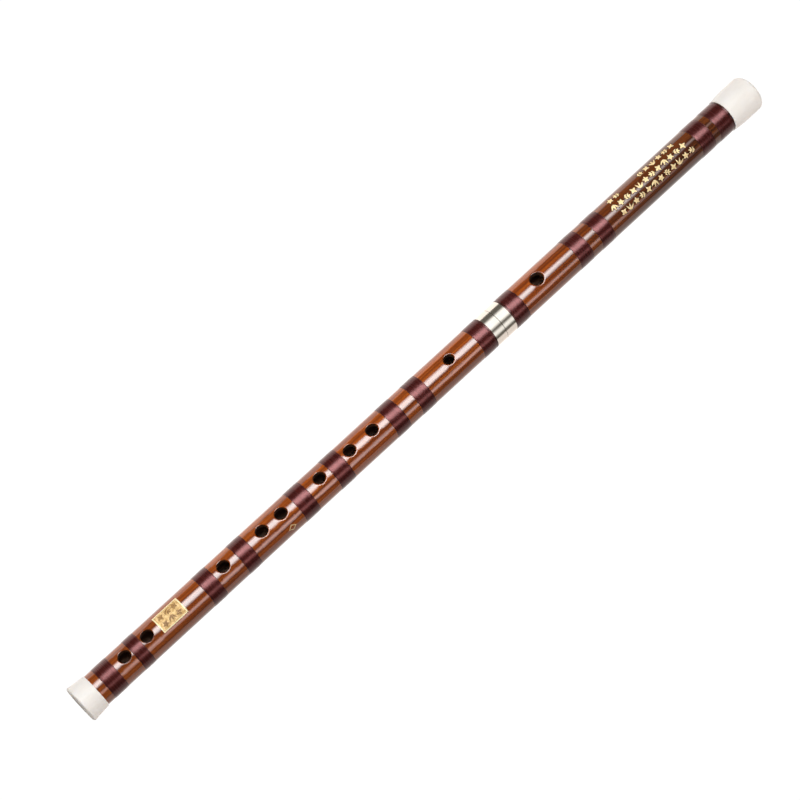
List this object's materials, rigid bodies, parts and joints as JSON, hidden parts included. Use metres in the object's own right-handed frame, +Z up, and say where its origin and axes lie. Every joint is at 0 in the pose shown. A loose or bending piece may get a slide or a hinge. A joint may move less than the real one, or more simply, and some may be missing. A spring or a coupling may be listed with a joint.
{
  "type": "bamboo transverse flute",
  "caption": "Two-section side-blown bamboo flute with a membrane hole, thread bindings, flared end pieces and a metal draw joint that pulls and turns.",
  "frame": {"origin": "on the ground below the flute's axis, at half its overall length", "axes": "+X along the bore towards the closed head end, +Z up out of the finger holes, +Y to the player's far side"},
  "size_m": [0.626, 0.0274, 0.0275],
  "materials": {
    "bamboo": "glossy clear-lacquered reddish brown bamboo with fine lengthwise fibres",
    "thread": "lacquered dark maroon thread, wound turn against turn",
    "ivory_resin": "polished ivory-white resin",
    "nickel_silver": "polished nickel silver",
    "cork": "natural cork",
    "gilt_brass": "thin gilt brass plate with an embossed border"
  },
  "bodies": {
    "body": {"body_tube": "bamboo", "tail_ring": "ivory_resin", "body_ferrule": "nickel_silver", "tenon_tube": "nickel_silver", "name_plate": "gilt_brass", "binding_01": "thread", "binding_02": "thread", "binding_03": "thread", "binding_04": "thread", "binding_05": "thread", "binding_06": "thread", "binding_07": "thread", "binding_08": "thread", "binding_09": "thread"},
    "seal": {"tenon_seal": "cork"},
    "head": {"head_tube": "bamboo", "socket_liner": "nickel_silver", "head_ferrule": "nickel_silver", "head_cap": "ivory_resin", "binding_10": "thread", "binding_11": "thread", "binding_12": "thread", "binding_13": "thread", "binding_14": "thread"},
    "plug": {"stopper": "cork"}
  },
  "joints": [
    {"name": "head_turn", "type": "hinge", "parent": "body", "child": "seal", "pos_m": [0.073, 0, 0.01373], "axis": [1, 0, 0], "continuous": true},
    {"name": "head_pull", "type": "slide", "parent": "seal", "child": "head", "axis": [1, 0, 0], "range_m": [0, 0.028]},
    {"name": "stopper_slide", "type": "slide", "parent": "head", "child": "plug", "axis": [1, 0, 0], "range_m": [-0.002, 0.004]}
  ]
}
